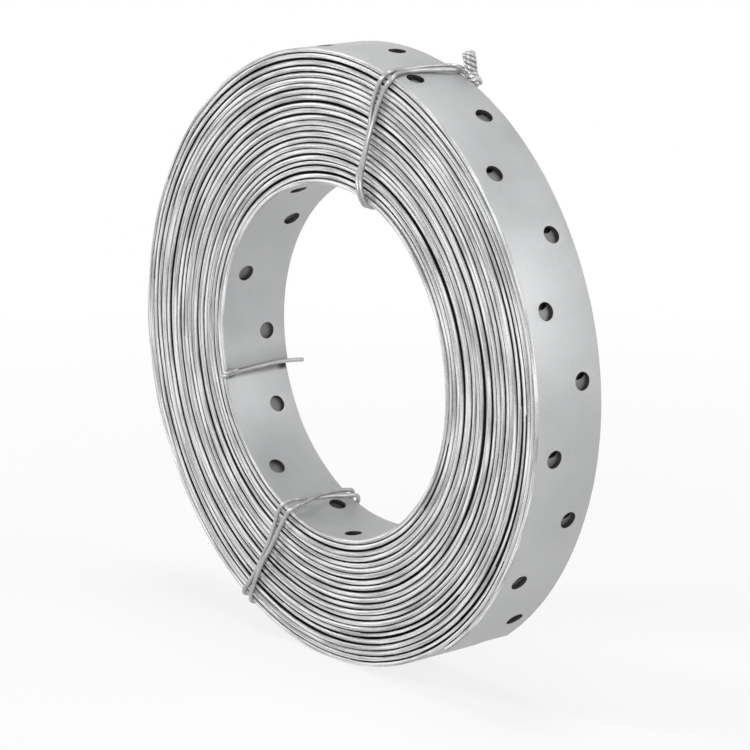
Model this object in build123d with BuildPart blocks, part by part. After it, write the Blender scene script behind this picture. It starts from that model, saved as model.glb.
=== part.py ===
from build123d import *
from math import cos, pi, radians, sin
import os

# Driving dimensions in millimetres. The strap is wound on edge to edge round a line along Y,
# its front end faces -Y, and the coil stands on its rim at z 0.
strap_width = 25.0
strap_thickness = 1.5
turn_pitch = 1.765
turn_count = 23
eye_radius = 54.8

# The turns lie in groups, and each group ends at an open gap. Counted from the eye outwards.
turns_in_group = [3, 6, 4, 7, 3]
gap_width = 0.9
gap_depth = 3.0

# Nail holes, in two rows that take turns along the strap.
hole_radius = 2.75
hole_step = 21.55
row_offset = 5.1
first_outer_hole_angle = 83.3
first_eye_hole_angle = 138.5

# Twelve holes of the outer turn are true circles for a nail, the rest have this many sides.
nail_holes = (0, *range(2, 13))
plain_hole_sides = 12

# Tie wires. Each strand lies off the coil by the clearance, so that its bends pass the edges.
wire_radius = 0.7
wire_clearance = 0.35
bend_radius = 1.8
loose_reach = 1.5
wire_sides = 5

# The twisted ends of the top tie: a rope of two strands that winds round its own line.
twist_quarter_turns = 4
twist_radius = 1.1
twist_bend = 0.7

outer_radius = eye_radius + turn_count * turn_pitch
half_width = strap_width / 2
reach = wire_radius + wire_clearance
strand_spread = 2 * wire_radius + 0.2


def end_profile():
    """Half of the coil's section at one end: flat over a group of turns, cut by each open gap."""
    points = [(eye_radius, half_width)]
    edge = eye_radius
    for turns in turns_in_group[:-1]:
        edge += turns * turn_pitch
        points.append((edge - gap_width / 2, half_width))
        points.append((edge, half_width - gap_depth))
        points.append((edge + gap_width / 2, half_width))
    points.append((outer_radius, half_width))
    return points


def around(angle, radius, across, depth):
    """A point by its angle on the coil, distance from the axis, sideways shift and depth along Y."""
    turn = radians(angle)
    return Vector(
        radius * cos(turn) - across * sin(turn),
        depth,
        outer_radius + radius * sin(turn) + across * cos(turn),
    )


def hole_plane(angle, radius, depth):
    """A plane on the strap at a hole, with its Z pointing away from the coil's axis."""
    turn = radians(angle)
    return Plane(
        origin=around(angle, radius, 0, depth),
        x_dir=(0, 1, 0),
        z_dir=(cos(turn), 0, sin(turn)),
    )


outer_hole_turn = hole_step / (outer_radius * pi / 180)
outer_hole_count = int(360 / outer_hole_turn)
eye_hole_turn = hole_step / (eye_radius * pi / 180)
eye_hole_count = int(360 / eye_hole_turn)

with BuildPart() as strap_coil:
    with BuildSketch(Plane.XY.offset(outer_radius)):
        with BuildLine():
            half = end_profile()
            mirrored = [(x, -y) for x, y in reversed(half)]
            Polyline(*half, *mirrored, close=True)
        make_face()
    revolve(axis=Axis((0, 0, outer_radius), (0, 1, 0)))
    for number in range(outer_hole_count):
        angle = first_outer_hole_angle - number * outer_hole_turn
        row = row_offset if number % 2 == 0 else -row_offset
        with BuildSketch(hole_plane(angle, outer_radius - strap_thickness, row)):
            if number in nail_holes:
                Circle(hole_radius)
            else:
                RegularPolygon(hole_radius, plain_hole_sides)
        extrude(amount=2 * strap_thickness, mode=Mode.SUBTRACT)
    for number in range(eye_hole_count):
        angle = first_eye_hole_angle + number * eye_hole_turn
        row = row_offset if number % 2 == 0 else -row_offset
        with BuildSketch(hole_plane(angle, eye_radius + strap_thickness, row)):
            RegularPolygon(hole_radius, plain_hole_sides)
        extrude(amount=-2 * strap_thickness, mode=Mode.SUBTRACT)
strap_coil.part.label = "strap_coil"


def wound(corners, shifts):
    """Corners of a wire wound round the coil's section, one turn for each sideways shift."""
    return [around(angle, radius, shift, depth) for shift in shifts for angle, radius, depth in corners]


def twisted_strand(start, end, phase):
    """Corners of one strand that winds round the line from start to end."""
    along = (end - start).normalized()
    beside = along.cross(Vector(0, 1, 0)).normalized()
    above = beside.cross(along)
    points = []
    for step in range(twist_quarter_turns + 1):
        turn = pi / 2 * step + phase
        offset = beside * twist_radius * cos(turn) + above * twist_radius * sin(turn)
        points.append(start + (end - start) * (step / twist_quarter_turns) + offset)
    return points


def wire_along(points, bends):
    """A wire of straight runs joined by bends, with one bend radius for each corner."""
    with BuildPart() as wire:
        with BuildLine():
            route = FilletPolyline(*points, radius=bends)
        with BuildSketch(Plane(origin=route @ 0, z_dir=route % 0)) as section:
            RegularPolygon(wire_radius, wire_sides)
        sweep()
    share = wire.part.volume / (section.sketch.area * route.length)
    print("wire length", route.length, "volume over section times length", share)
    return wire.part


outside = outer_radius + reach
inside = eye_radius - reach
front = -half_width - reach
back = half_width + reach
two_turns = (-strand_spread / 2, strand_spread / 2)

# The top tie is wound twice, loose at the eye. Its last rise passes over the first one at the
# back, and its two ends are twisted together over the back edge of the rim.
rope_start = around(66.0, outer_radius + 1.6, 0, back + strand_spread)
rope_end = around(69.5, outer_radius + 8.0, 0, back)
first_end = twisted_strand(rope_start, rope_end, 0)
second_end = twisted_strand(rope_start, rope_end, pi)
top_turn = [
    (71.0, outside, back),
    (72.8, outside, front),
    (74.0, inside - loose_reach, front),
    (73.5, inside, back),
]
top_points = wound(top_turn, two_turns)
top_points[-1] = around(73.5, inside, strand_spread / 2, back + strand_spread + 0.3)
twist_bends = [twist_bend] * (len(first_end) - 1)
tie_wire_top = wire_along(
    [*reversed(first_end), *top_points, *second_end],
    [*twist_bends, *[bend_radius] * len(top_points), *twist_bends],
)

# The lower tie is wound twice too, and stands proud of the front at the eye.
lower_turn = [
    (243.5, outside, back),
    (244.0, outside, front),
    (248.0, inside - loose_reach, front - loose_reach),
    (252.0, inside, back),
]
lower_points = wound(lower_turn, two_turns)
tie_wire_lower = wire_along(lower_points, [bend_radius] * (len(lower_points) - 2))

# The left tie holds the strap's inner end, and its front end is folded over the inner turns.
fold_radius = eye_radius + turns_in_group[0] * turn_pitch
left_points = [
    around(195.0, inside, 0, half_width + 5.0),
    around(196.5, inside, 0, front),
    around(196.5, fold_radius, 0, front),
]
tie_wire_left = wire_along(left_points, [bend_radius])

os.makedirs("parts", exist_ok=True)
export_step(strap_coil.part, "parts/strap_coil.step")
tie_wire_top.label = "tie_wire_top"
export_step(tie_wire_top, "parts/tie_wire_top.step")
tie_wire_lower.label = "tie_wire_lower"
export_step(tie_wire_lower, "parts/tie_wire_lower.step")
tie_wire_left.label = "tie_wire_left"
export_step(tie_wire_left, "parts/tie_wire_left.step")
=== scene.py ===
from math import cos, exp, pi, radians, sin

import bpy
from mathutils import Matrix, Vector


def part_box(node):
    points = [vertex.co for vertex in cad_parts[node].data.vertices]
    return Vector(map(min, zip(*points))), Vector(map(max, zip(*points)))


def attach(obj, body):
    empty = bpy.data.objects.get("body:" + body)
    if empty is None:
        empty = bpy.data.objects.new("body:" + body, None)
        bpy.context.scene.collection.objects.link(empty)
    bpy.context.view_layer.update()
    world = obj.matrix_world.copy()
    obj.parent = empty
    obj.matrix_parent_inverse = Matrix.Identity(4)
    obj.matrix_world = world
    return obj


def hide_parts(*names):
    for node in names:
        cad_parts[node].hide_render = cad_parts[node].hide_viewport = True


bl_info = {
    "name": "Mounting strap coil",
    "version": (1, 0, 0),
    "blender": (4, 5, 0),
    "location": "View3D > Sidebar > Strap coil",
    "description": "Winds a perforated mounting strap, ties it with wire and lights it",
    "category": "Add Mesh",
}

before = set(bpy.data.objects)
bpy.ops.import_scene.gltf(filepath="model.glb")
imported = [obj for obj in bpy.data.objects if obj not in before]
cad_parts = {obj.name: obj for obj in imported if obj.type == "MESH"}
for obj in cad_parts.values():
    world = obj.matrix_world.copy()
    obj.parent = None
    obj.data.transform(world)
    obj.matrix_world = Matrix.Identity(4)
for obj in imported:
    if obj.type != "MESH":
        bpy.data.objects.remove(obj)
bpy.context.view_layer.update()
RIM_LOW, RIM_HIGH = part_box("strap_coil")
RIM_RADIUS = (RIM_HIGH[2] - RIM_LOW[2]) / 2
STRAP_WIDTH = RIM_HIGH[1] - RIM_LOW[1]
AXIS = Vector((0, 0, RIM_RADIUS))
MM = 0.001


class StrapSizes(bpy.types.PropertyGroup):
    """Sizes of the strap, its nail holes and its winding"""

    width: bpy.props.FloatProperty(
        name="Width", description="Width of the strap", default=STRAP_WIDTH, unit="LENGTH"
    )
    thickness: bpy.props.FloatProperty(
        name="Thickness", description="Thickness of the strap", default=1.38 * MM, unit="LENGTH"
    )
    edge_round: bpy.props.FloatProperty(
        name="Edge rounding",
        description="Radius of the strap's worn long edges",
        default=0.52 * MM,
        unit="LENGTH",
    )
    pitch: bpy.props.FloatProperty(
        name="Pitch",
        description="Step from one turn to the next",
        default=1.788 * MM,
        unit="LENGTH",
    )
    slack: bpy.props.FloatProperty(
        name="Slack",
        description="Extra room between the turns on the loose side",
        default=1.5 * MM,
        unit="LENGTH",
    )
    turns: bpy.props.FloatProperty(
        name="Turns", description="Number of turns from the inner to the outer end", default=22.69
    )
    eye_radius: bpy.props.FloatProperty(
        name="Eye radius",
        description="Radius of the eye at the inner end",
        default=54.1 * MM,
        unit="LENGTH",
    )
    inner_end: bpy.props.FloatProperty(
        name="Inner end",
        description="Angle of the strap's inner end",
        default=radians(194.5),
        subtype="ANGLE",
    )
    hole_radius: bpy.props.FloatProperty(
        name="Hole radius", description="Radius of a nail hole", default=2.75 * MM, unit="LENGTH"
    )
    hole_step: bpy.props.FloatProperty(
        name="Hole step",
        description="Distance along the middle of the strap's thickness from hole to hole",
        default=21.39 * MM,
        unit="LENGTH",
    )
    row_offset: bpy.props.FloatProperty(
        name="Row offset",
        description="Distance of a hole row from the middle",
        default=5.1 * MM,
        unit="LENGTH",
    )


class TieSizes(bpy.types.PropertyGroup):
    """Sizes of the tie wires"""

    radius: bpy.props.FloatProperty(
        name="Wire radius", description="Radius of the tie wire", default=0.7 * MM, unit="LENGTH"
    )
    twists: bpy.props.FloatProperty(
        name="Twists", description="Full turns of the twisted ends", default=1.8
    )
    rope_strands: bpy.props.IntProperty(
        name="Rope strands", description="Strands that show round the twisted ends", default=4
    )
    rope_radius: bpy.props.FloatProperty(
        name="Rope radius",
        description="Distance of a strand from the rope's middle",
        default=1.4 * MM,
        unit="LENGTH",
    )
    rope_wire: bpy.props.FloatProperty(
        name="Rope wire",
        description="Radius of a strand in the twisted ends",
        default=0.62 * MM,
        unit="LENGTH",
    )


class ZincColours(bpy.types.PropertyGroup):
    """Colours of the zinc coating"""

    strap: bpy.props.FloatVectorProperty(
        name="Strap", description="Zinc on the strap", default=(0.5, 0.505, 0.51), subtype="COLOR"
    )
    dull: bpy.props.FloatVectorProperty(
        name="Dull",
        description="Darker, duller patches of the zinc",
        default=(0.41, 0.415, 0.42),
        subtype="COLOR",
    )
    wire: bpy.props.FloatVectorProperty(
        name="Wire", description="Zinc on the tie wire", default=(0.5, 0.5, 0.507), subtype="COLOR"
    )
    floor: bpy.props.FloatVectorProperty(
        name="Floor", description="Colour of the floor", default=(0.9, 0.9, 0.9), subtype="COLOR"
    )


class Link:
    """A shader socket that takes part in plain sums."""

    def __init__(self, shader, socket):
        self.shader = shader
        self.socket = socket

    def math(self, operation, first, second):
        return self.shader.node("ShaderNodeMath", {"operation": operation}, {0: first, 1: second})

    def __add__(self, other):
        return self.math("ADD", self, other)

    def __radd__(self, other):
        return self.math("ADD", other, self)

    def __sub__(self, other):
        return self.math("SUBTRACT", self, other)

    def __rsub__(self, other):
        return self.math("SUBTRACT", other, self)

    def __mul__(self, other):
        return self.math("MULTIPLY", self, other)

    def __rmul__(self, other):
        return self.math("MULTIPLY", other, self)


class Shader:
    """The node tree of a material or of the world, with one method that adds any node."""

    def __init__(self, owner, surface="Principled BSDF"):
        owner.use_nodes = True
        self.tree = owner.node_tree
        self.surface = self.tree.nodes[surface]

    def node(self, kind, settings=None, inputs=None, output=0):
        made = self.tree.nodes.new(kind)
        for key, value in (settings or {}).items():
            setattr(made, key, value)
        for key, value in (inputs or {}).items():
            self.feed(made.inputs[key], value)
        return Link(self, made.outputs[output])

    def feed(self, socket, value):
        if isinstance(value, Link):
            self.tree.links.new(value.socket, socket)
        else:
            socket.default_value = value

    def mix(self, factor, low, high):
        """A colour between low and high, which go into the Mix node's sockets 6 and 7."""
        inputs = {"Factor": factor, 6: low, 7: high}
        return self.node("ShaderNodeMix", {"data_type": "RGBA"}, inputs, output=2)

    def noise(self, coordinates, scale, detail=3.0, roughness=0.5):
        inputs = {"Vector": coordinates, "Scale": scale, "Detail": detail, "Roughness": roughness}
        return self.node("ShaderNodeTexNoise", {}, inputs)

    def between(self, value, low, high, new_low=0.0, new_high=1.0):
        ends = {"From Min": low, "From Max": high, "To Min": new_low, "To Max": new_high}
        return self.node("ShaderNodeMapRange", {}, {"Value": value, **ends})

    def attribute(self, name, output="Fac"):
        return self.node("ShaderNodeAttribute", {"attribute_name": name}, output=output)

    def bump(self, height, strength):
        inputs = {"Strength": strength, "Distance": BUMP_DISTANCE, "Height": height}
        return self.node("ShaderNodeBump", {}, inputs)

    def set(self, **values):
        for name, value in values.items():
            self.feed(self.surface.inputs[name.replace("_", " ")], value)

    def sees_backdrop(self):
        """1 for the rays that find the white backdrop: of the camera, of metal and of glass."""
        camera = self.node("ShaderNodeLightPath", output="Is Camera Ray")
        glossy = self.node("ShaderNodeLightPath", output="Is Glossy Ray")
        passing = self.node("ShaderNodeLightPath", output="Is Transmission Ray")
        either = self.node("ShaderNodeMath", {"operation": "MAXIMUM"}, {0: camera, 1: glossy})
        return self.node("ShaderNodeMath", {"operation": "MAXIMUM"}, {0: either, 1: passing})

    def show(self, output, factor, low, high):
        """Mixes two surfaces and shows the result."""
        mixed = self.node("ShaderNodeMixShader", {}, {0: factor, 1: low, 2: high})
        self.feed(self.tree.nodes[output].inputs["Surface"], mixed)


def rgba(colour):
    return (*colour, 1.0)


def grey(value, blue=0.0):
    return (value, value, value + blue, 1.0)


# How fine each pattern of the zinc is: noise scales per metre.
CLOUD_SCALE = 45.0
SPANGLE_SCALE = 1400.0
DRAWN_SCALE = 1500.0
SPECKLE_SCALE = 2600.0
CUT_SCALE = 1700.0
RAGGED_SCALE = 150.0
WIRE_PATCH_SCALE = 260.0
WIRE_GRAIN_SCALE = 3000.0

# Drawn lines and shear marks are stretched along the strap.
DRAWN_STRETCH = (0.04, 1.0, 1.0)
CUT_STRETCH = (0.03, 1.0, 0.0)

EDGE_DARK = grey(0.24, 0.005)
EDGE_BRIGHT = grey(0.8, 0.005)
INNER_END_GREY = grey(0.2)
# Painted shade: a dark grey for faces that lie on another turn and for the holes' walls, and a
# darker one deep in the gaps.
SHADED_ZINC = grey(0.05)
PAINTED_GAP_SHADE = grey(0.02)

BUMP_DISTANCE = 0.1 * MM


def zinc_strap(lap):
    """Galvanised sheet: cloudy zinc with drawn lines, sheared edges, and painted shade on the
    faces that lie on another turn and in the gaps.

    lap is how much strap is wound up where the second turn starts to cover the first.
    """
    colours = bpy.context.scene.zinc_colours
    material = bpy.data.materials.new("zinc_strap")
    shader = Shader(material)

    flat = shader.attribute("flat", "Vector")
    edge = shader.attribute("edge")
    covered = shader.attribute("covered")
    hole_wall = shader.attribute("hole_wall")
    place = shader.node("ShaderNodeTexCoord", output="Object")

    drawn = shader.node("ShaderNodeMapping", {}, {"Vector": flat, "Scale": DRAWN_STRETCH})
    clouds = shader.between(shader.noise(flat, CLOUD_SCALE, 4.0), 0.35, 0.65)
    spangle = shader.between(shader.noise(place, SPANGLE_SCALE, 2.0), 0.3, 0.7)
    lines = shader.between(shader.noise(drawn, DRAWN_SCALE, 3.0), 0.35, 0.65)
    tone = clouds * 0.55 + spangle * 0.3 + lines * 0.15
    face_colour = shader.mix(tone, rgba(colours.dull), rgba(colours.strap))

    sheared = shader.node("ShaderNodeMapping", {}, {"Vector": flat, "Scale": CUT_STRETCH})
    speckle = shader.between(shader.noise(place, SPECKLE_SCALE, 3.0, 0.7), 0.38, 0.62)
    cut_lines = shader.between(shader.noise(sheared, CUT_SCALE, 2.0), 0.4, 0.6)
    edge_tone = cut_lines * 0.7 + speckle * 0.3
    edge_colour = shader.mix(edge_tone, EDGE_DARK, EDGE_BRIGHT)
    colour = shader.mix(edge, face_colour, edge_colour)

    # A darker grey patch at the strap's inner end, with a ragged border.
    length_on_strap = shader.node("ShaderNodeSeparateXYZ", {}, {0: flat}, output="X")
    ragged = length_on_strap + shader.noise(place, RAGGED_SCALE, 3.0) * (3 * MM)
    inner_end_dark = shader.between(ragged, 4 * MM, 9 * MM, 1.0, 0.0)
    colour = shader.mix(inner_end_dark * 0.4, colour, INNER_END_GREY)

    # Painted shade: faces that lie on another turn are darkened, and darkest deep in a gap at the
    # coil's ends. The darkening starts just short of the lap, so it also falls on the second
    # turn's face that shows past the strap's inner end, as a painted shadow under the left tie
    # wire.
    height_on_strap = shader.node("ShaderNodeSeparateXYZ", {}, {0: flat}, output="Z")
    from_middle = shader.node("ShaderNodeMath", {"operation": "ABSOLUTE"}, {0: height_on_strap})
    half_width = STRAP_WIDTH / 2
    near_edge = shader.between(from_middle, half_width - 4.5 * MM, half_width - 2.5 * MM)
    beyond_lap = shader.between(length_on_strap, lap - 2.4 * MM, lap - 1.2 * MM)
    hidden = covered * (1 - edge) * beyond_lap
    colour = shader.mix(hidden * 0.6, colour, SHADED_ZINC)
    colour = shader.mix(hidden * near_edge, colour, PAINTED_GAP_SHADE)
    # Painted shade: the holes' walls are dark grey.
    colour = shader.mix(hole_wall, colour, SHADED_ZINC)

    height = spangle * 0.4 + lines * 0.3 + edge * speckle * 1.5
    shader.set(
        Base_Color=colour,
        Roughness=0.4 + tone * 0.14 + edge * 0.1,
        Metallic=0.4,
        Normal=shader.bump(height, 0.25),
    )
    return material


def zinc_wire():
    """Drawn, galvanised wire."""
    colours = bpy.context.scene.zinc_colours
    material = bpy.data.materials.new("zinc_wire")
    shader = Shader(material)
    place = shader.node("ShaderNodeTexCoord", output="Object")
    patches = shader.between(shader.noise(place, WIRE_PATCH_SCALE, 4.0), 0.35, 0.65)
    grain = shader.between(shader.noise(place, WIRE_GRAIN_SCALE, 2.0), 0.3, 0.7)
    dark = [0.65 * value for value in colours.wire]
    tone = patches * 0.6 + grain * 0.4
    shader.set(
        Base_Color=shader.mix(tone, rgba(dark), rgba(colours.wire)),
        Roughness=0.26 + grain * 0.1,
        Metallic=0.5,
        Normal=shader.bump(grain, 0.04),
    )
    return material


# The floor shines by itself: by this share up to the near distance from the coil's foot, in
# metres, and wholly from the far one on.
FLOOR_NEAR, FLOOR_FAR = 0.15, 0.5
FLOOR_SHARE = 0.8


def floor_white():
    """White floor: most of what shows of it shines by itself, the rest takes the coil's shadow."""
    material = bpy.data.materials.new("floor_white")
    shader = Shader(material)
    colours = bpy.context.scene.zinc_colours
    shader.set(Base_Color=rgba(colours.floor), Roughness=0.9, Specular_IOR_Level=0.0)
    place = shader.node("ShaderNodeTexCoord", output="Object")
    length = {"operation": "LENGTH"}
    away = shader.node("ShaderNodeVectorMath", length, {0: place}, output="Value")
    share = shader.between(away, FLOOR_NEAR, FLOOR_FAR, FLOOR_SHARE, 1.0)
    glow = shader.node("ShaderNodeEmission", {}, {"Color": grey(1.0), "Strength": 1.0})
    base = Link(shader, shader.surface.outputs[0])
    shader.show("Material Output", shader.sees_backdrop() * share, base, glow)
    return material


def select_only(*objects):
    bpy.ops.object.select_all(action="DESELECT")
    for piece in objects:
        piece.select_set(True)
    bpy.context.view_layer.objects.active = objects[0]


def select_faces(piece, chosen):
    """Edit mode with just the faces that the test picks."""
    select_only(piece)
    bpy.ops.object.mode_set(mode="EDIT")
    bpy.ops.mesh.select_all(action="DESELECT")
    bpy.ops.mesh.select_mode(type="FACE")
    bpy.ops.object.mode_set(mode="OBJECT")
    for face in piece.data.polygons:
        face.select = chosen(face)
    bpy.ops.object.mode_set(mode="EDIT")


def apply_modifier(piece, kind, **settings):
    select_only(piece)
    modifier = piece.modifiers.new(kind.title(), kind)
    for key, value in settings.items():
        setattr(modifier, key, value)
    bpy.ops.object.modifier_apply(modifier=modifier.name)


def settle(piece, material):
    """Puts the piece's place into its mesh and hangs it on the frame."""
    select_only(piece)
    bpy.ops.object.transform_apply(location=True, rotation=True, scale=True)
    piece.data.materials.clear()
    piece.data.materials.append(material)
    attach(piece, "root")


# Where a nail hole of the outer turn shows, as an angle on the coil in degrees.
RIM_HOLE_ANGLE = 83.3

# Where the first nail hole lies, from the strap's inner end.
FIRST_HOLE = 11.5 * MM

# Longer steps between the holes on the hidden side of the first turn, so that both ends fit.
STRETCH = 26.6 * MM
STRETCH_FROM = 75 * MM
STRETCH_TO = 245 * MM

# The side of the coil with the least slack, as an angle on it in degrees.
SLACK_FROM = 10

# The winding's line: degrees from point to point, and turns that it goes on past the strap.
WINDING_STEP = 4
SPARE_TURNS = 0.3

# How far one open gap reaches over the turns beside it, and the tightest that turns lie.
GAP_REACH = 0.45
TIGHTEST = 0.15

# The innermost turns stand out of round here: angle and spread in degrees, and height.
BULGE_ANGLE = 62
BULGE_SPREAD = 32
BULGE_HEIGHT = 1.1 * MM

# Sideways waves of the strap in the winding: height in millimetres, pace, start.
SWAY_LENGTH = 0.45
SWAY = ((0.2, 9.1, 0.0), (0.2, 3.7, 1.0), (0.12, 23.0, 0.0))

# The flat strap: slices of a stretch with two holes, sides of a hole, and weld distance.
SLICES = 12
HOLE_SIDES = 20
WELD = 0.01 * MM

# Marks on its faces: how long before the lap the inner side counts as covered, and how far
# from the middle the holes reach, as a share of the strap's width.
LAP_MARGIN = 8 * MM
HOLE_ROWS = 0.36

# Where the winding stands open: turn counted from the eye, angle on the coil, spread, width.
OPEN_GAPS = (
    (2.4, 100, 70, 1.0),
    (3.0, 185, 60, 0.9),
    (5.2, 40, 60, 0.9),
    (6.0, 190, 50, 0.7),
    (8.6, 100, 50, 0.5),
    (9.4, 280, 80, 0.5),
    (10.8, 30, 60, 1.0),
    (11.4, 190, 50, 0.9),
    (12.6, 100, 60, 0.8),
    (13.0, 0, 60, 0.9),
    (13.3, 185, 50, 0.9),
    (14.6, 95, 60, 1.0),
    (15.0, 20, 50, 0.8),
    (16.2, 185, 60, 0.8),
    (17.6, 300, 60, 0.6),
    (19.6, 30, 60, 0.9),
    (20.1, 185, 70, 1.0),
    (20.8, 100, 60, 0.8),
    (21.0, 20, 60, 0.8),
)


def looseness(turn, angle):
    """How far the gap below this turn stands open, before all gaps share the room."""
    swing = 0.5 + 0.5 * sin(2.75 * turn + 0.6 * sin(2 * radians(angle) + turn))
    value = 0.35 + 0.5 * swing**3 + 0.05 * sin(5.3 * turn + radians(angle))
    for gap_turn, gap_angle, spread, opening in OPEN_GAPS:
        away = (angle - gap_angle + 180) % 360 - 180
        value += opening * exp(-(((turn - gap_turn) / GAP_REACH) ** 2) - (away / spread) ** 2)
    return max(value, TIGHTEST)


def bulge(angle):
    """How far the innermost turns stand out of round, by the angle on the coil."""
    away = (angle - BULGE_ANGLE + 180) % 360 - 180
    return BULGE_HEIGHT * exp(-((away / BULGE_SPREAD) ** 2))


def winding(sizes):
    """Points of the strap's middle line from the inner end outwards: (angle, radius)."""
    per_turn = 360 // WINDING_STEP
    total = int((sizes.turns + SPARE_TURNS) * per_turn)
    layers = range(1, int(sizes.turns) + 1)
    gap_room = (sizes.pitch - sizes.thickness) * len(layers)
    start = sizes.inner_end * 180 / pi
    line = []
    for number in range(total):
        angle = start - number * WINDING_STEP
        if number < per_turn:
            rise = sizes.pitch * number / per_turn
            radius = sizes.eye_radius + sizes.thickness / 2 + rise + bulge(angle)
        else:
            part = (number % per_turn) / per_turn
            share = sum(looseness(layer + part, angle) for layer in layers)
            slack = sizes.slack / 2 * (1 - cos(radians(angle - SLACK_FROM)))
            room = gap_room + slack - bulge(angle)
            gap = room * looseness(number / per_turn, angle) / share
            radius = line[number - per_turn][1] + sizes.thickness + gap
        line.append((angle, radius))
    return line


def flat_strap(sizes, length, hole_step, start):
    """The strap before it is wound: a bar along X with rounded long edges and punched holes."""
    repeat = 2 * hole_step
    bpy.ops.object.select_all(action="DESELECT")
    bpy.ops.mesh.primitive_cube_add(
        size=1,
        location=(repeat / 2, 0, 0),
        scale=(repeat, sizes.thickness, sizes.width),
    )
    strap = bpy.context.object
    bpy.ops.object.transform_apply(location=True, rotation=True, scale=True)

    # The long edges are rounded with the ends off, and the strap is sliced so that it can bend.
    select_faces(strap, lambda face: abs(face.normal.x) > 0.9)
    bpy.ops.mesh.delete(type="FACE")
    bpy.ops.mesh.select_all(action="SELECT")
    bpy.ops.mesh.bevel(offset=sizes.edge_round, segments=3, affect="EDGES")
    for number in range(1, SLICES):
        bpy.ops.mesh.select_all(action="SELECT")
        bpy.ops.mesh.bisect(plane_co=(repeat * number / SLICES, 0, 0), plane_no=(1, 0, 0))
    bpy.ops.mesh.select_all(action="SELECT")
    bpy.ops.mesh.fill_holes(sides=0)
    bpy.ops.object.mode_set(mode="OBJECT")
    for place, side in ((0.25, -1), (0.75, 1)):
        bpy.ops.object.select_all(action="DESELECT")
        bpy.ops.mesh.primitive_cylinder_add(
            vertices=HOLE_SIDES,
            radius=sizes.hole_radius,
            depth=4 * sizes.thickness,
            location=(repeat * place, 0, side * sizes.row_offset),
            rotation=(pi / 2, 0, 0),
        )
        punch = bpy.context.object
        apply_modifier(strap, "BOOLEAN", object=punch, operation="DIFFERENCE", solver="EXACT")
        bpy.data.objects.remove(punch)

    # The ends come off again, and the stretch with two holes is repeated to the full length.
    def is_end(face):
        from_end = min(face.center.x, repeat - face.center.x)
        return abs(face.normal.x) > 0.9 and from_end < WELD / 10

    select_faces(strap, is_end)
    bpy.ops.mesh.delete(type="FACE")
    bpy.ops.mesh.select_all(action="SELECT")
    bpy.ops.mesh.remove_doubles(threshold=WELD)
    bpy.ops.object.mode_set(mode="OBJECT")
    apply_modifier(
        strap,
        "ARRAY",
        count=int(length / repeat) + 1,
        use_relative_offset=False,
        use_constant_offset=True,
        constant_offset_displace=(repeat, 0, 0),
        use_merge_vertices=True,
        merge_threshold=WELD,
    )
    select_faces(strap, lambda face: True)
    bpy.ops.mesh.bisect(plane_co=(length, 0, 0), plane_no=(1, 0, 0), clear_outer=True)
    bpy.ops.object.mode_set(mode="OBJECT")
    strap.data.transform(Matrix.Translation((start, 0, 0)))
    return strap


def length_at(line, reach, angle):
    """How much strap is wound up where the line passes the angle, counted on through all turns."""
    place = (line[0][0] - angle) / (line[0][0] - line[1][0])
    before = int(place)
    return reach[before] + (reach[before + 1] - reach[before]) * (place - before)


def sway(along):
    """How far the strap wanders sideways in the winding, by its length so far."""
    turn = along / SWAY_LENGTH
    return sum(height * sin(pace * turn + start) for height, pace, start in SWAY) * MM


def place_holes(mesh):
    """Spaces the holes of the first turn, keeps each point's place on the strap, and sways it."""
    flat = mesh.attributes.new("flat", "FLOAT_VECTOR", "POINT")
    for number, vertex in enumerate(mesh.vertices):
        along = min(max((vertex.co.x - STRETCH_FROM) / (STRETCH_TO - STRETCH_FROM), 0), 1)
        vertex.co.x += STRETCH * along * along * (3 - 2 * along)
        flat.data[number].vector = vertex.co
        vertex.co.z += sway(vertex.co.x)


def mark_faces(mesh, sizes, first_turn, last_turn):
    """Marks the strap's long edges, the faces that lie on another turn, and the holes' walls."""
    edge = mesh.attributes.new("edge", "FLOAT", "FACE")
    covered = mesh.attributes.new("covered", "FLOAT", "FACE")
    hole_wall = mesh.attributes.new("hole_wall", "FLOAT", "FACE")
    edge_height = sizes.width / 2 - sizes.edge_round
    hole_rows = HOLE_ROWS * sizes.width
    for number, face in enumerate(mesh.polygons):
        height = abs(face.center.z)
        inner_face = face.normal.y < -0.5 and face.center.x > first_turn - LAP_MARGIN
        outer_face = face.normal.y > 0.5 and face.center.x < last_turn
        edge.data[number].value = float(height > edge_height)
        covered.data[number].value = float(inner_face or outer_face)
        hole_wall.data[number].value = float(abs(face.normal.y) < 0.9 and height < hole_rows)


def bend_round(strap, points):
    """Bends the flat strap along a line of points and stands the coil on its rim."""
    bpy.ops.object.select_all(action="DESELECT")
    curve = bpy.data.curves.new("winding_line", "CURVE")
    curve.dimensions = "2D"
    spline = curve.splines.new("POLY")
    spline.points.add(len(points) - 1)
    for point, (x, y) in zip(spline.points, points):
        point.co = (x, y, 0, 1)
    guide = bpy.data.objects.new("winding_line", curve)
    bpy.context.scene.collection.objects.link(guide)
    apply_modifier(strap, "CURVE", object=guide, deform_axis="POS_X")
    bpy.data.objects.remove(guide)
    select_faces(strap, lambda face: True)
    bpy.ops.mesh.fill_holes(sides=0)
    bpy.ops.object.mode_set(mode="OBJECT")
    strap.rotation_euler = (pi / 2, 0, 0)
    strap.location = AXIS


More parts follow.
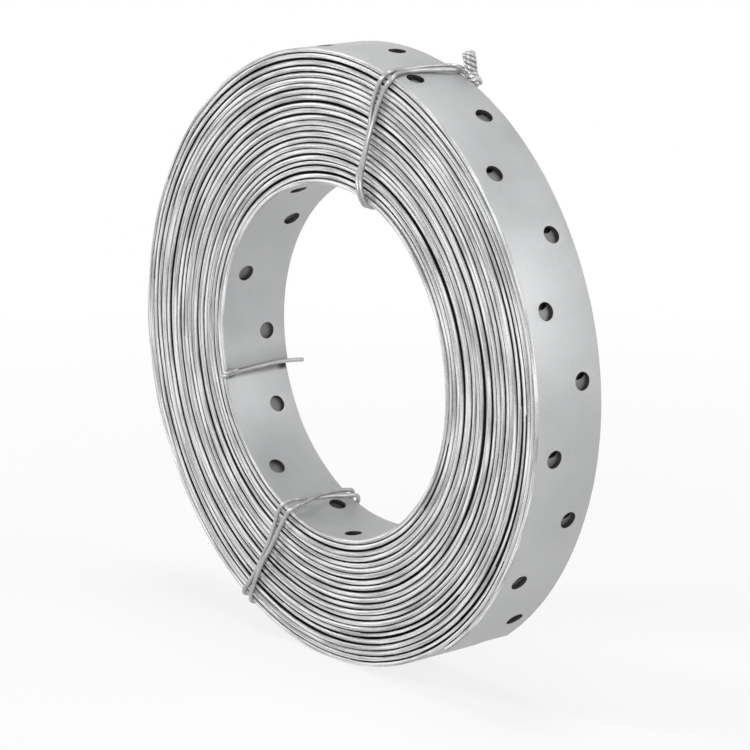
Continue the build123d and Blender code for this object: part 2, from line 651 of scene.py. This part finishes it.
class STRAP_OT_wind_strap(bpy.types.Operator):
    """Punches the strap, winds it into the coil and closes its ends"""

    bl_idname = "strap.wind_strap"
    bl_label = "Wind strap"

    def execute(self, context):
        sizes = context.scene.strap_sizes
        line = winding(sizes)
        points = []
        for angle, radius in line:
            points.append((radius * cos(radians(angle)), radius * sin(radians(angle))))
        reach = [0.0]
        for (x, y), (next_x, next_y) in zip(points, points[1:]):
            reach.append(reach[-1] + ((next_x - x) ** 2 + (next_y - y) ** 2) ** 0.5)
        start = line[0][0]
        rim_hole = length_at(line, reach, RIM_HOLE_ANGLE - 360 * int(sizes.turns))
        unstretched = rim_hole - FIRST_HOLE - STRETCH
        pairs = round(unstretched / (2 * sizes.hole_step))
        hole_step = unstretched / pairs / 2
        end = length_at(line, reach, start - 360 * sizes.turns)
        first_turn = length_at(line, reach, start - 360)
        last_turn = length_at(line, reach, start - 360 * (sizes.turns - 1))
        strap = flat_strap(sizes, end - STRETCH, hole_step, FIRST_HOLE - hole_step / 2)
        strap.name = "strap_wound"
        place_holes(strap.data)
        mark_faces(strap.data, sizes, first_turn, last_turn)
        bend_round(strap, points)
        settle(strap, zinc_strap(first_turn))
        select_only(strap)
        bpy.ops.object.shade_smooth_by_angle(angle=radians(35))
        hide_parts("strap_coil")
        return {"FINISHED"}


# How far a wire's rounded tip stands out and how thin it gets, as shares of its radius.
TIP_SHARE = 0.5

# The twisted ends: points for each full turn, and how far the strands close over the top.
ROPE_POINTS = 10
ROPE_CLOSE = 0.45

# Routes of the wires, as stations: angle on the coil in degrees, radius and depth in
# millimetres. First the middle line of the top tie's twisted ends.
ROPE_LINE = (
    (66.7, 95.2, 14.2),
    (67.9, 95.6, 14.2),
    (68.8, 96.7, 14.2),
    (69.3, 98.2, 14.2),
    (69.8, 99.7, 14.2),
    (70.3, 101.0, 14.2),
    (70.8, 102.0, 14.2),
)

# The top tie's two turns, each from its twisted end round the section and back to it.
TOP_FIRST = (
    (66.1, 95.7, 13.6),
    (68.1, 96.0, 13.8),
    (69.8, 96.7, 13.6),
    (70.9, 97.6, 11.5),
    (71.7, 97.4, 9.9),
    (72.9, 97.0, 4.4),
    (73.4, 96.6, -2.2),
    (73.4, 96.4, -8.2),
    (73.1, 96.2, -11.6),
    (73.4, 94.4, -13.3),
    (74.0, 91.6, -13.4),
    (74.5, 85.6, -13.5),
    (73.8, 77.7, -13.9),
    (73.5, 71.5, -14.3),
    (73.6, 66.6, -14.6),
    (73.6, 62.4, -15.0),
    (71.9, 58.2, -14.8),
    (71.1, 55.2, -13.2),
    (71.8, 53.4, -10.5),
    (73.0, 53.2, -5.0),
    (73.4, 53.4, 4.0),
    (73.4, 53.6, 11.6),
    (73.4, 55.6, 13.3),
    (73.4, 75.0, 13.4),
    (69.6, 90.0, 13.5),
    (66.6, 94.4, 14.0),
)
TOP_SECOND = (
    (66.7, 94.7, 13.6),
    (69.0, 95.4, 14.0),
    (70.4, 96.2, 13.2),
    (70.6, 97.0, 9.8),
    (71.6, 96.8, 4.1),
    (72.4, 96.5, -1.9),
    (72.3, 96.4, -8.2),
    (71.6, 96.3, -11.4),
    (71.3, 95.0, -13.2),
    (72.0, 92.0, -13.6),
    (72.7, 87.1, -13.6),
    (72.9, 81.5, -14.0),
    (72.5, 77.0, -14.9),
    (72.2, 72.4, -15.4),
    (72.2, 67.4, -15.3),
    (72.6, 62.8, -14.7),
    (71.2, 59.2, -14.6),
    (70.1, 56.0, -13.2),
    (70.2, 53.8, -10.5),
    (71.2, 53.3, -5.0),
    (71.6, 53.4, 4.0),
    (71.6, 53.6, 11.6),
    (71.6, 55.6, 13.3),
    (71.4, 75.0, 13.4),
    (68.4, 90.0, 13.5),
    (66.6, 94.0, 13.6),
)

# The lower tie's two turns, which cross in the eye.
LOWER_FIRST = (
    (245.0, 92.0, 13.5),
    (243.2, 96.4, 12.0),
    (242.6, 96.6, 0.0),
    (242.5, 96.5, -11.6),
    (242.6, 94.7, -13.2),
    (243.3, 90.0, -13.4),
    (244.3, 82.6, -13.4),
    (244.7, 76.8, -13.4),
    (245.2, 70.2, -13.4),
    (245.5, 63.6, -13.6),
    (246.0, 57.2, -14.2),
    (246.8, 54.2, -13.9),
    (247.5, 52.9, -11.4),
    (247.9, 53.0, -6.0),
    (248.7, 53.1, -1.7),
    (249.3, 53.2, 3.2),
    (250.4, 53.4, 8.2),
    (251.2, 53.5, 11.6),
    (251.3, 54.6, 13.2),
    (251.0, 58.0, 13.5),
    (250.0, 64.0, 13.4),
    (247.4, 80.0, 13.4),
    (246.4, 91.0, 13.4),
)
LOWER_SECOND = (
    (247.0, 92.0, 13.5),
    (245.8, 96.4, 12.0),
    (245.2, 96.6, 0.0),
    (244.9, 96.5, -11.6),
    (245.0, 94.2, -13.3),
    (245.0, 89.4, -13.7),
    (245.5, 83.3, -14.3),
    (246.2, 77.5, -14.7),
    (247.1, 72.3, -14.6),
    (247.9, 65.9, -14.3),
    (248.7, 61.0, -14.3),
    (249.8, 57.0, -14.5),
    (250.9, 54.0, -14.2),
    (251.8, 52.2, -12.0),
    (251.6, 51.5, -8.8),
    (250.3, 51.5, -4.7),
    (248.7, 51.9, 0.0),
    (247.9, 52.6, 5.6),
    (247.9, 53.3, 10.6),
    (248.1, 53.9, 12.8),
    (248.0, 56.0, 13.5),
    (247.6, 64.0, 13.4),
    (245.6, 80.0, 13.4),
    (245.0, 91.0, 13.4),
)

# The left tie: the wire across the bore, hooked over the first turn, and its short end.
LEFT_WIRE = (
    (195.6, 56.2, -11.4),
    (195.6, 55.8, -13.0),
    (195.4, 54.4, -13.4),
    (195.0, 53.4, -12.2),
    (194.5, 53.3, -7.0),
    (194.1, 53.3, 0.2),
    (193.9, 53.3, 8.3),
    (194.2, 53.3, 13.4),
    (194.7, 53.3, 17.4),
)
LEFT_END = (
    (194.5, 54.0, -13.3),
    (194.4, 52.6, -12.8),
    (194.1, 52.1, -11.4),
    (193.8, 52.1, -9.8),
)


def around(angle, radius, depth):
    """A point by its angle on the coil, its radius and its depth along Y, in millimetres."""
    turn = radians(angle)
    return Vector((radius * cos(turn) * MM, depth * MM, radius * sin(turn) * MM)) + AXIS


def route(stations):
    return [around(*station) for station in stations]


def bent_wire(name, strands, radius):
    """Round wires through the given points, as one mesh."""
    curve = bpy.data.curves.new(name, "CURVE")
    curve.dimensions = "3D"
    curve.bevel_depth = radius
    curve.bevel_resolution = 4
    curve.resolution_u = 8
    curve.use_fill_caps = True
    tip = radius * TIP_SHARE
    for points in strands:
        first_tip = points[0] + (points[0] - points[1]).normalized() * tip
        last_tip = points[-1] + (points[-1] - points[-2]).normalized() * tip
        spline = curve.splines.new("BEZIER")
        spline.bezier_points.add(len(points) + 1)
        for bend, place in zip(spline.bezier_points, [first_tip, *points, last_tip]):
            bend.co = place
            bend.handle_left_type = "AUTO"
            bend.handle_right_type = "AUTO"
        spline.bezier_points[0].radius = TIP_SHARE
        spline.bezier_points[-1].radius = TIP_SHARE
    wire = bpy.data.objects.new(name, curve)
    bpy.context.scene.collection.objects.link(wire)
    select_only(wire)
    bpy.ops.object.convert(target="MESH")
    wire = bpy.context.object
    bpy.ops.object.shade_smooth()
    return wire


def rope(middle_line, twists, reach, phase):
    """Points of one strand that winds round a middle line and closes over its top."""
    steps = int(twists * ROPE_POINTS)
    points = []
    for number in range(steps + 1):
        gap = reach * (ROPE_CLOSE if number == steps else 1.0)
        part = number / steps * (len(middle_line) - 1)
        low = min(int(part), len(middle_line) - 2)
        middle = middle_line[low].lerp(middle_line[low + 1], part - low)
        along = (middle_line[low + 1] - middle_line[low]).normalized()
        beside = along.cross(Vector((0, 1, 0))).normalized()
        above = beside.cross(along)
        turn = phase + 2 * pi * number / ROPE_POINTS
        points.append(middle + gap * (beside * cos(turn) + above * sin(turn)))
    return points


class STRAP_OT_bend_ties(bpy.types.Operator):
    """Bends the three tie wires round the coil and twists the ends of the top one"""

    bl_idname = "strap.bend_ties"
    bl_label = "Bend tie wires"

    def execute(self, context):
        sizes = context.scene.tie_sizes
        material = zinc_wire()
        rope_line = route(ROPE_LINE)
        twisted = [rope_line]
        for strand in range(sizes.rope_strands):
            phase = 2 * pi * strand / sizes.rope_strands
            twisted.append(rope(rope_line, sizes.twists, sizes.rope_radius, phase))
        tie_top = bent_wire("tie_top", [route(TOP_FIRST), route(TOP_SECOND)], sizes.radius)
        twist = bent_wire("tie_twist", twisted, sizes.rope_wire)
        select_only(tie_top, twist)
        bpy.ops.object.join()
        settle(tie_top, material)
        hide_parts("tie_wire_top")
        lower = [route(LOWER_FIRST), route(LOWER_SECOND)]
        tie_lower = bent_wire("tie_lower", lower, sizes.radius)
        settle(tie_lower, material)
        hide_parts("tie_wire_lower")
        tie_left = bent_wire("tie_left", [route(LEFT_WIRE), route(LEFT_END)], sizes.radius)
        settle(tie_left, material)
        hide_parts("tie_wire_left")
        return {"FINISHED"}


# The stage: the floor's side, and the dim grey that lights the coil from all round.
FLOOR_SIDE = 6
WORLD_GREY = grey(0.2, 0.003)

# Lamps: name, place, side and power.
LAMPS = (
    ("lamp_left", (-1.0, -0.9, 0.75), 0.3, 9),
    ("lamp_low", (0.45, -1.25, 0.1), 0.4, 11),
    ("lamp_right", (1.1, 0.4, 0.6), 0.8, 6),
    ("lamp_top", (0.1, 0.0, 1.4), 0.5, 7),
)

# The camera: its direction in degrees, its place from the coil's middle, and its lens.
CAMERA_YAW = 50.974
CAMERA_LIFT = 13.936
CAMERA_RIGHT = 4.604 * MM
CAMERA_UP = -5.875 * MM
CAMERA_BACK = 950.1 * MM
SENSOR_WIDTH = 36
LENS = 147.91


def soft_lamp(name, place, size, power):
    """A square lamp that faces the coil."""
    lamp = bpy.data.lights.new(name, "AREA")
    lamp.size = size
    lamp.energy = power
    holder = bpy.data.objects.new(name, lamp)
    holder.location = place
    holder.rotation_euler = (AXIS - Vector(place)).to_track_quat("-Z", "Y").to_euler()
    bpy.context.scene.collection.objects.link(holder)


class STRAP_OT_set_stage(bpy.types.Operator):
    """Adds the floor, the lamps, the white surroundings and the camera"""

    bl_idname = "strap.set_stage"
    bl_label = "Set stage"

    def execute(self, context):
        scene = context.scene
        bpy.ops.object.select_all(action="DESELECT")
        bpy.ops.mesh.primitive_plane_add(size=FLOOR_SIDE, location=(0, 0, 0))
        floor = context.object
        floor.name = "floor"
        floor.data.materials.append(floor_white())
        world = bpy.data.worlds.new("studio")
        scene.world = world
        studio = Shader(world, "Background")
        studio.set(Color=WORLD_GREY)
        white = studio.node("ShaderNodeBackground", {}, {"Color": grey(1.0), "Strength": 1.0})
        backing = Link(studio, studio.surface.outputs[0])
        studio.show("World Output", studio.sees_backdrop(), backing, white)
        for lamp in LAMPS:
            soft_lamp(*lamp)
        yaw, lift = radians(CAMERA_YAW), radians(CAMERA_LIFT)
        right = Vector((cos(yaw), sin(yaw), 0))
        back = Vector((sin(yaw) * cos(lift), -cos(yaw) * cos(lift), sin(lift)))
        up = back.cross(right)
        camera = bpy.data.cameras.new("camera")
        camera.sensor_width = SENSOR_WIDTH
        camera.lens = LENS
        holder = bpy.data.objects.new("camera", camera)
        place = AXIS + CAMERA_RIGHT * right + CAMERA_UP * up + CAMERA_BACK * back
        turned = Matrix((right, up, back)).transposed().to_4x4()
        holder.matrix_world = Matrix.Translation(place) @ turned
        scene.collection.objects.link(holder)
        scene.camera = holder
        scene.view_settings.view_transform = "Standard"
        return {"FINISHED"}


class STRAP_PT_panel(bpy.types.Panel):
    """Sizes, colours and steps of the strap coil"""

    bl_label = "Strap coil"
    bl_space_type = "VIEW_3D"
    bl_region_type = "UI"
    bl_category = "Strap coil"

    def draw(self, context):
        scene = context.scene
        for group in (scene.strap_sizes, scene.tie_sizes, scene.zinc_colours):
            box = self.layout.box()
            for name in group.bl_rna.properties.keys():
                if name not in ("rna_type", "name"):
                    box.prop(group, name)
        for step in STEPS:
            self.layout.operator(step.bl_idname)


GROUPS = (StrapSizes, TieSizes, ZincColours)
STEPS = (STRAP_OT_wind_strap, STRAP_OT_bend_ties, STRAP_OT_set_stage)


def register():
    for item in (*GROUPS, *STEPS, STRAP_PT_panel):
        bpy.utils.register_class(item)
    bpy.types.Scene.strap_sizes = bpy.props.PointerProperty(type=StrapSizes)
    bpy.types.Scene.tie_sizes = bpy.props.PointerProperty(type=TieSizes)
    bpy.types.Scene.zinc_colours = bpy.props.PointerProperty(type=ZincColours)


def unregister():
    del bpy.types.Scene.zinc_colours
    del bpy.types.Scene.tie_sizes
    del bpy.types.Scene.strap_sizes
    for item in reversed((*GROUPS, *STEPS, STRAP_PT_panel)):
        bpy.utils.unregister_class(item)


def main():
    register()
    bpy.ops.strap.wind_strap()
    bpy.ops.strap.bend_ties()
    bpy.ops.strap.set_stage()


if __name__ == "__main__":
    main()
